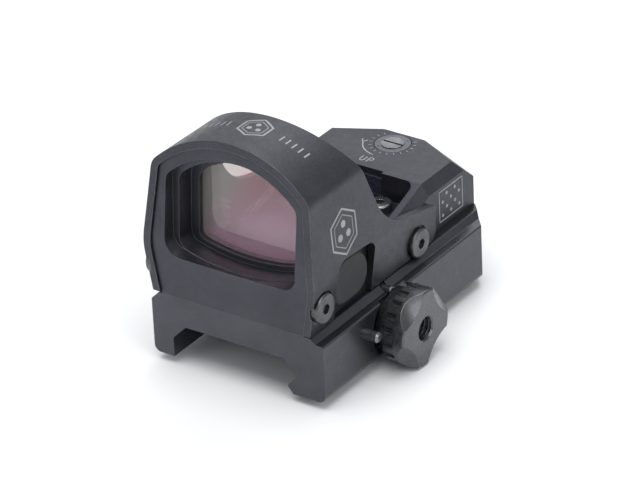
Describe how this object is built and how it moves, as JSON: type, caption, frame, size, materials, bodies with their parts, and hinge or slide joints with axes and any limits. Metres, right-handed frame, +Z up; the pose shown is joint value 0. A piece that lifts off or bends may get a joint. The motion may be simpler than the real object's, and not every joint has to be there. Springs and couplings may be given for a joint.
{
  "type": "red dot finder",
  "caption": "Mini reflex red dot finder: arched hood over a tinted lens, side keys, rear emitter deck with adjusting dials, and a rail clamp closed by a side knob.",
  "frame": {"origin": "On the plane of the rail's top, at the rail's centre line, level with the axis of the cross bolt that sits in the rail's recoil slot", "axes": "+Y runs back along the rail from the lens end to the emitter deck, +X points to the knob's side, +Z points up from the rail to the hood"},
  "size_m": [0.0362, 0.0458, 0.0383],
  "materials": {
    "clamp_black": "matt black anodised aluminium",
    "housing_black": "matt black anodised aluminium",
    "hood_black": "satin black anodised aluminium with pale etched marks",
    "knob_black": "satin black anodised aluminium, polished scoops",
    "steel_dark": "black oxide steel",
    "screw_grey": "grey phosphated steel",
    "dial_grey": "grey anodised aluminium",
    "lens_glass": "rose reflective coating",
    "emitter_glass": "clear",
    "seal_rubber": "matt black rubber",
    "key_rubber": "soft black rubber",
    "switch_black": "moulded black",
    "cell_steel": "nickel-plated steel",
    "plate_aluminium": "plain anodised",
    "board_green": "green solder mask",
    "carriage_brass": "machined brass",
    "led_red": "red epoxy lens"
  },
  "bodies": {
    "sight": {"rail_mount_body": "clamp_black", "knob_washer": "steel_dark", "detent_spring": "steel_dark", "base_screws": "steel_dark", "locating_pins": "steel_dark", "housing": "housing_black", "hood_shield": "hood_black", "shield_screws": "screw_grey", "lens": "lens_glass", "lens_gasket": "seal_rubber", "lens_retainer": "housing_black", "emitter_window": "emitter_glass", "right_switch": "switch_black", "left_switch": "switch_black", "battery": "cell_steel", "base_gasket": "seal_rubber", "bottom_plate": "plate_aluminium", "circuit_board": "board_green", "elevation_dial": "dial_grey", "windage_dial": "dial_grey"},
    "jaw": {"clamp_jaw": "clamp_black", "cross_bolt": "steel_dark", "jaw_guide_pins": "steel_dark"},
    "knob": {"clamp_knob": "knob_black"},
    "plunger": {"detent_plunger": "steel_dark"},
    "right_key": {"right_key": "key_rubber"},
    "left_key": {"left_key": "key_rubber"},
    "elevation_adjuster": {"elevation_screw": "steel_dark", "elevation_clip": "steel_dark"},
    "windage_adjuster": {"windage_screw": "steel_dark", "windage_clip": "steel_dark"},
    "lift": {"emitter_lift": "carriage_brass"},
    "windage_nut": {"windage_nut": "carriage_brass"},
    "emitter": {"emitter_block": "carriage_brass", "led_emitter": "led_red"}
  },
  "joints": [
    {"name": "knob_turn", "type": "hinge", "parent": "sight", "child": "knob", "pos_m": [0.02, 0, -0.00077], "axis": [1, 0, 0], "range_deg": [0, 1080]},
    {"name": "jaw_slide", "type": "slide", "parent": "sight", "child": "jaw", "axis": [-1, 0, 0], "range_m": [0, 0.0021]},
    {"name": "detent_slide", "type": "slide", "parent": "sight", "child": "plunger", "axis": [-1, 0, 0], "range_m": [0, 0.0003], "stiffness_N_per_m": 200, "springref_m": -0.0005},
    {"name": "right_key_press", "type": "slide", "parent": "sight", "child": "right_key", "axis": [-1, 0, 0], "range_m": [0, 0.0005], "stiffness_N_per_m": 800, "springref_m": -0.0003},
    {"name": "left_key_press", "type": "slide", "parent": "sight", "child": "left_key", "axis": [1, 0, 0], "range_m": [0, 0.0005], "stiffness_N_per_m": 800, "springref_m": -0.0003},
    {"name": "elevation_turn", "type": "hinge", "parent": "sight", "child": "elevation_adjuster", "pos_m": [0, 0.02375, 0.013], "axis": [0, 0, 1], "range_deg": [-360, 360]},
    {"name": "lift_slide", "type": "slide", "parent": "sight", "child": "lift", "axis": [0, 0, 1], "range_m": [-0.0004, 0.0004]},
    {"name": "windage_turn", "type": "hinge", "parent": "sight", "child": "windage_adjuster", "pos_m": [-0.012, 0.02055, 0.0086], "axis": [-1, 0, 0], "range_deg": [-360, 360]},
    {"name": "windage_nut_slide", "type": "slide", "parent": "sight", "child": "windage_nut", "axis": [1, 0, 0], "range_m": [-0.0004, 0.0004]},
    {"name": "emitter_slide", "type": "slide", "parent": "lift", "child": "emitter", "axis": [1, 0, 0], "range_m": [-0.00041, 0.00041]}
  ],
  "couplings": [
    {"joint": "knob_turn", "follows": "jaw_slide", "rad_per_m": 8975.9},
    {"joint": "elevation_turn", "follows": "lift_slide", "rad_per_m": -15708},
    {"joint": "windage_turn", "follows": "windage_nut_slide", "rad_per_m": 15708},
    {"joint": "emitter_slide", "follows": "windage_nut_slide", "ratio": 1}
  ]
}
